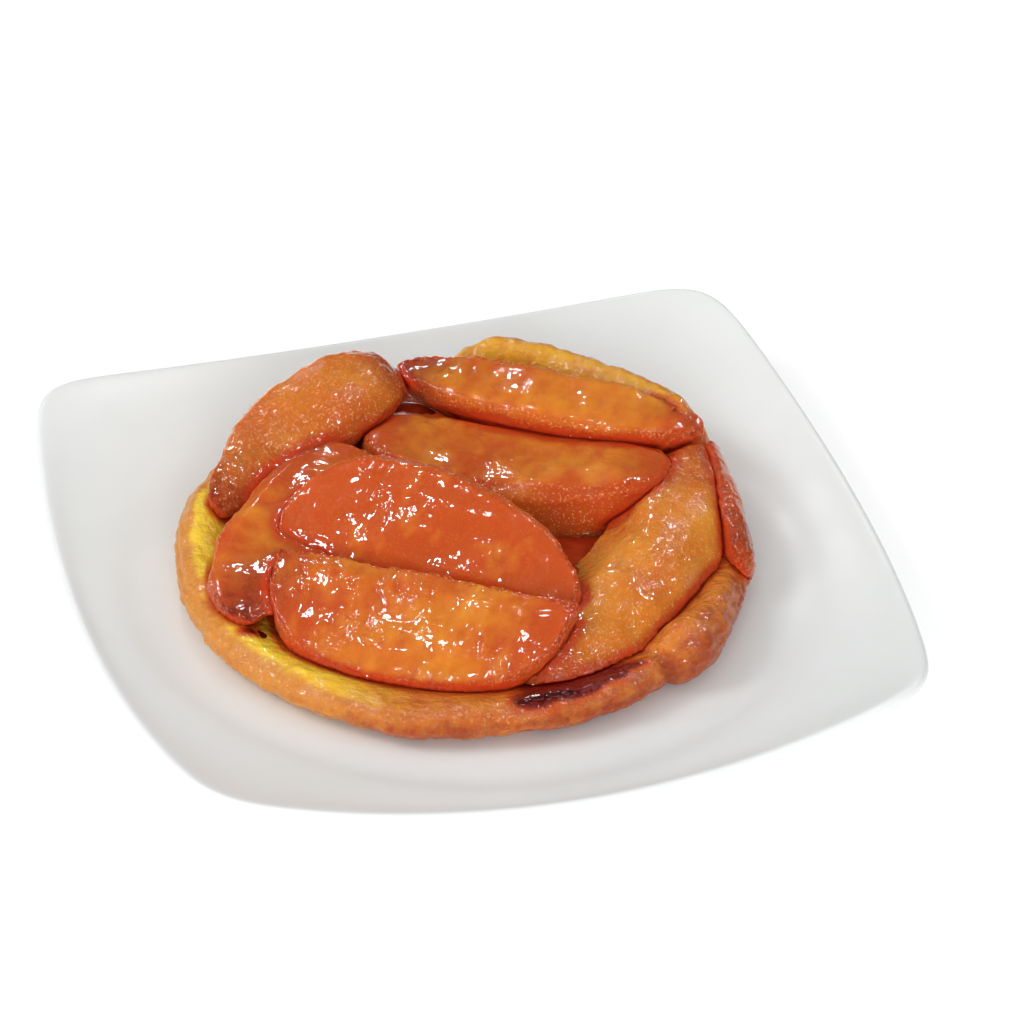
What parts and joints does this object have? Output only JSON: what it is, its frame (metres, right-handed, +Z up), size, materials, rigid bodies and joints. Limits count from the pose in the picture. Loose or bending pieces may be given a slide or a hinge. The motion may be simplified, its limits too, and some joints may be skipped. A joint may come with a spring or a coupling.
{
  "type": "tarte tatin",
  "caption": "Individual tarte tatin: caramelised apple wedges in a tucked puff pastry base, served on a square white plate with bowed sides and upturned corners.",
  "frame": {"origin": "middle of the plate, on the table it stands on", "axes": "+Z up; +X to the right along one side of the plate and +Y away from the viewer, so the plate's sides lie along X and Y"},
  "size_m": [0.1618, 0.1618, 0.0346],
  "materials": {
    "porcelain": "glazed white porcelain",
    "crust": "baked golden puff pastry, browned on its edge and glazed with caramel juice",
    "apple": "soft caramelised apple under a wet caramel glaze"
  },
  "bodies": {
    "root": {"plate": "porcelain", "pastry": "crust", "apple_front": "apple", "apple_middle": "apple", "apple_back": "apple", "apple_inner": "apple", "apple_back_left": "apple", "apple_left": "apple", "apple_right": "apple", "apple_far_right": "apple"}
  },
  "joints": []
}
